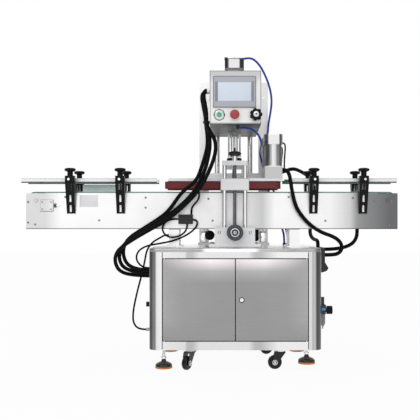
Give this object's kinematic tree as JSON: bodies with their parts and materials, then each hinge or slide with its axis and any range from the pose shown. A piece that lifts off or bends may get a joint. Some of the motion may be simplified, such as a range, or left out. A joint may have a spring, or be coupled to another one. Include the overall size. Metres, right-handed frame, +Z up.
{
  "type": "bottle capping machine",
  "caption": "Belt-conveyor bottle capping machine on a steel cabinet, with a height-adjustable spindle head, side clamping belts, guide rails and an operator panel.",
  "frame": {"origin": "middle of the machine's footprint, on the floor under the levelling feet", "axes": "+X along the conveyor, to the operator's right; +Y from the operator's side to the back; +Z up"},
  "size_m": [1.886, 0.645, 1.5521],
  "materials": {
    "belt_green": "matte",
    "belt_red": "matte",
    "black_plastic": "matte",
    "black_rubber": "matte",
    "blue_plastic": "satin",
    "conveyor_steel": "brushed",
    "door_steel": "brushed",
    "green_plastic": "gloss",
    "grey_plastic": "satin",
    "machined": "satin",
    "polished": "polished",
    "rail": "satin",
    "red_plastic": "gloss",
    "sleeve": "matte",
    "stainless": "brushed",
    "tyre": "matte",
    "white_plate": "satin",
    "zinc": "satin"
  },
  "bodies": {
    "machine": {"cabinet_frame": "stainless", "cabinet_top": "stainless", "cabinet_panels": "stainless", "electrics_plate": "zinc", "levelling_feet": "zinc", "air_regulator": "blue_plastic", "conveyor_frame": "conveyor_steel", "conveyor_belt": "belt_green", "conveyor_motor": "machined", "rail_brackets": "black_plastic", "rear_frame": "stainless", "width_base": "machined", "cable_fittings": "black_plastic", "head_harness": "sleeve", "cabinet_leads": "sleeve", "air_tubes": "blue_plastic"},
    "left_door": {"left_door": "door_steel"},
    "right_door": {"right_door": "door_steel"},
    "door_lock": {"door_lock": "polished"},
    "main_switch": {"main_switch": "black_plastic"},
    "regulator_knob": {"regulator_knob": "black_plastic"},
    "drive_roller": {"drive_roller": "machined"},
    "tail_roller": {"tail_roller": "machined"},
    "start_button": {"start_button": "green_plastic"},
    "stop_button": {"stop_button": "red_plastic"},
    "panel_knob": {"panel_knob": "black_plastic"},
    "quill": {"quill": "polished"},
    "width_screw": {"width_screw": "polished"},
    "head": {"head_plate": "machined", "head_housing": "white_plate", "touch_screen": "grey_plastic", "head_motor": "machined"},
    "chuck": {"cap_chuck": "machined"},
    "front_left_fork": {"front_left_caster_fork": "zinc"},
    "front_left_wheel": {"front_left_caster_wheel": "tyre"},
    "front_right_fork": {"front_right_caster_fork": "zinc"},
    "front_right_wheel": {"front_right_caster_wheel": "tyre"},
    "rear_left_fork": {"rear_left_caster_fork": "zinc"},
    "rear_left_wheel": {"rear_left_caster_wheel": "tyre"},
    "rear_right_fork": {"rear_right_caster_fork": "zinc"},
    "rear_right_wheel": {"rear_right_caster_wheel": "tyre"},
    "front_left_guide_rail": {"front_left_guide_rail": "rail"},
    "front_right_guide_rail": {"front_right_guide_rail": "rail"},
    "front_slide": {"front_slide": "white_plate"},
    "front_carrier": {"front_carrier": "white_plate", "front_clamp_belt": "belt_red", "front_belt_motor": "machined", "front_motor_leads": "sleeve"},
    "front_height_screw": {"front_height_screw": "black_plastic"},
    "rear_left_guide_rail": {"rear_left_guide_rail": "rail"},
    "rear_right_guide_rail": {"rear_right_guide_rail": "rail"},
    "rear_slide": {"rear_slide": "white_plate"},
    "rear_carrier": {"rear_carrier": "white_plate", "rear_clamp_belt": "belt_red", "rear_belt_motor": "machined", "rear_motor_leads": "sleeve"},
    "rear_height_screw": {"rear_height_screw": "black_plastic"},
    "chuck_jaw_1": {"chuck_jaw_1": "black_rubber"},
    "chuck_jaw_2": {"chuck_jaw_2": "black_rubber"},
    "chuck_jaw_3": {"chuck_jaw_3": "black_rubber"}
  },
  "joints": [
    {"name": "left_door_swing", "type": "hinge", "parent": "machine", "child": "left_door", "pos_m": [-0.2085, -0.2715, 0.33], "axis": [0, 0, -1], "range_deg": [0, 110]},
    {"name": "right_door_swing", "type": "hinge", "parent": "machine", "child": "right_door", "pos_m": [0.4645, -0.2715, 0.33], "axis": [0, 0, 1], "range_deg": [0, 110]},
    {"name": "lock_turn", "type": "hinge", "parent": "right_door", "child": "door_lock", "pos_m": [0.15775, -0.2675, 0.334], "axis": [0, 1, 0], "range_deg": [0, 90]},
    {"name": "front_left_swivel", "type": "hinge", "parent": "machine", "child": "front_left_fork", "pos_m": [-0.089, -0.2325, 0.08], "axis": [0, 0, 1], "continuous": true},
    {"name": "front_left_roll", "type": "hinge", "parent": "front_left_fork", "child": "front_left_wheel", "pos_m": [-0.10214, -0.25722, 0.0333], "axis": [0.8829, -0.4695, 0], "continuous": true},
    {"name": "front_right_swivel", "type": "hinge", "parent": "machine", "child": "front_right_fork", "pos_m": [0.345, -0.2325, 0.08], "axis": [0, 0, 1], "continuous": true},
    {"name": "front_right_roll", "type": "hinge", "parent": "front_right_fork", "child": "front_right_wheel", "pos_m": [0.317, -0.2325, 0.0333], "axis": [0, -1, 0], "continuous": true},
    {"name": "rear_left_swivel", "type": "hinge", "parent": "machine", "child": "rear_left_fork", "pos_m": [-0.072, 0.1625, 0.08], "axis": [0, 0, 1], "continuous": true},
    {"name": "rear_left_roll", "type": "hinge", "parent": "rear_left_fork", "child": "rear_left_wheel", "pos_m": [-0.1, 0.1625, 0.0333], "axis": [0, -1, 0], "continuous": true},
    {"name": "rear_right_swivel", "type": "hinge", "parent": "machine", "child": "rear_right_fork", "pos_m": [0.328, 0.1625, 0.08], "axis": [0, 0, 1], "continuous": true},
    {"name": "rear_right_roll", "type": "hinge", "parent": "rear_right_fork", "child": "rear_right_wheel", "pos_m": [0.3, 0.1625, 0.0333], "axis": [0, -1, 0], "continuous": true},
    {"name": "switch_turn", "type": "hinge", "parent": "machine", "child": "main_switch", "pos_m": [-0.29, -0.1675, 0.302], "axis": [-1, 0, 0], "range_deg": [0, 90]},
    {"name": "regulator_turn", "type": "hinge", "parent": "machine", "child": "regulator_knob", "pos_m": [0.585, -0.1775, 0.275], "axis": [1, 0, 0], "range_deg": [-720, 720]},
    {"name": "drive_roller_spin", "type": "hinge", "parent": "machine", "child": "drive_roller", "pos_m": [0.895, 0.0225, 0.8095], "axis": [0, 1, 0], "continuous": true},
    {"name": "tail_roller_spin", "type": "hinge", "parent": "machine", "child": "tail_roller", "pos_m": [-0.867, 0.0225, 0.8095], "axis": [0, 1, 0], "continuous": true},
    {"name": "front_left_rail_slide", "type": "slide", "parent": "machine", "child": "front_left_guide_rail", "axis": [0, 1, 0], "range_m": [-0.02, 0.02]},
    {"name": "front_right_rail_slide", "type": "slide", "parent": "machine", "child": "front_right_guide_rail", "axis": [0, 1, 0], "range_m": [-0.02, 0.02]},
    {"name": "rear_left_rail_slide", "type": "slide", "parent": "machine", "child": "rear_left_guide_rail", "axis": [0, -1, 0], "range_m": [-0.02, 0.02]},
    {"name": "rear_right_rail_slide", "type": "slide", "parent": "machine", "child": "rear_right_guide_rail", "axis": [0, -1, 0], "range_m": [-0.02, 0.02]},
    {"name": "head_height", "type": "slide", "parent": "machine", "child": "head", "axis": [0, 0, 1], "range_m": [-0.06, 0.03], "deforming": ["head_harness", "air_tubes"]},
    {"name": "start_press", "type": "slide", "parent": "head", "child": "start_button", "axis": [0, 1, 0], "range_m": [0, 0.003], "stiffness_N_per_m": 300},
    {"name": "stop_press", "type": "slide", "parent": "head", "child": "stop_button", "axis": [0, 1, 0], "range_m": [0, 0.004], "stiffness_N_per_m": 400},
    {"name": "knob_turn", "type": "hinge", "parent": "head", "child": "panel_knob", "pos_m": [0.224, -0.3075, 1.205], "axis": [0, 1, 0], "range_deg": [-180, 360]},
    {"name": "cap_stroke", "type": "slide", "parent": "head", "child": "quill", "axis": [0, 0, 1], "range_m": [-0.04, 0]},
    {"name": "spindle_spin", "type": "hinge", "parent": "quill", "child": "chuck", "pos_m": [0.128, 0.0225, 1.02], "axis": [0, 0, 1], "continuous": true},
    {"name": "jaw_1_grip", "type": "slide", "parent": "chuck", "child": "chuck_jaw_1", "axis": [-0.866, -0.5, 0], "range_m": [-0.003, 0.003]},
    {"name": "jaw_2_grip", "type": "slide", "parent": "chuck", "child": "chuck_jaw_2", "axis": [0.866, -0.5, 0], "range_m": [-0.003, 0.003]},
    {"name": "jaw_3_grip", "type": "slide", "parent": "chuck", "child": "chuck_jaw_3", "axis": [0, 1, 0], "range_m": [-0.003, 0.003]},
    {"name": "width_screw_turn", "type": "hinge", "parent": "machine", "child": "width_screw", "pos_m": [0.128, -0.1825, 0.65], "axis": [0, 1, 0], "range_deg": [-360, 1440]},
    {"name": "front_frame_slide", "type": "slide", "parent": "machine", "child": "front_slide", "axis": [0, -1, 0], "range_m": [-0.005, 0.02]},
    {"name": "rear_frame_slide", "type": "slide", "parent": "machine", "child": "rear_slide", "axis": [0, 1, 0], "range_m": [-0.005, 0.02]},
    {"name": "front_height_turn", "type": "hinge", "parent": "front_slide", "child": "front_height_screw", "pos_m": [0.128, -0.1255, 1.037], "axis": [0, 0, 1], "range_deg": [-360, 2160]},
    {"name": "front_height_slide", "type": "slide", "parent": "front_slide", "child": "front_carrier", "axis": [0, 0, 1], "range_m": [-0.005, 0.03], "deforming": ["front_motor_leads", "cabinet_leads"]},
    {"name": "rear_height_turn", "type": "hinge", "parent": "rear_slide", "child": "rear_height_screw", "pos_m": [0.128, 0.1705, 1.037], "axis": [0, 0, 1], "range_deg": [-360, 2160]},
    {"name": "rear_height_slide", "type": "slide", "parent": "rear_slide", "child": "rear_carrier", "axis": [0, 0, 1], "range_m": [-0.005, 0.03], "deforming": ["rear_motor_leads"]}
  ],
  "couplings": [
    {"joint": "tail_roller_spin", "follows": "drive_roller_spin", "ratio": 1},
    {"joint": "jaw_2_grip", "follows": "jaw_1_grip", "ratio": 1},
    {"joint": "jaw_3_grip", "follows": "jaw_1_grip", "ratio": 1},
    {"joint": "width_screw_turn", "follows": "front_frame_slide", "rad_per_m": 1256.6},
    {"joint": "rear_frame_slide", "follows": "front_frame_slide", "ratio": 1},
    {"joint": "front_height_turn", "follows": "front_height_slide", "rad_per_m": 1256.6},
    {"joint": "rear_height_turn", "follows": "rear_height_slide", "rad_per_m": 1256.6}
  ]
}
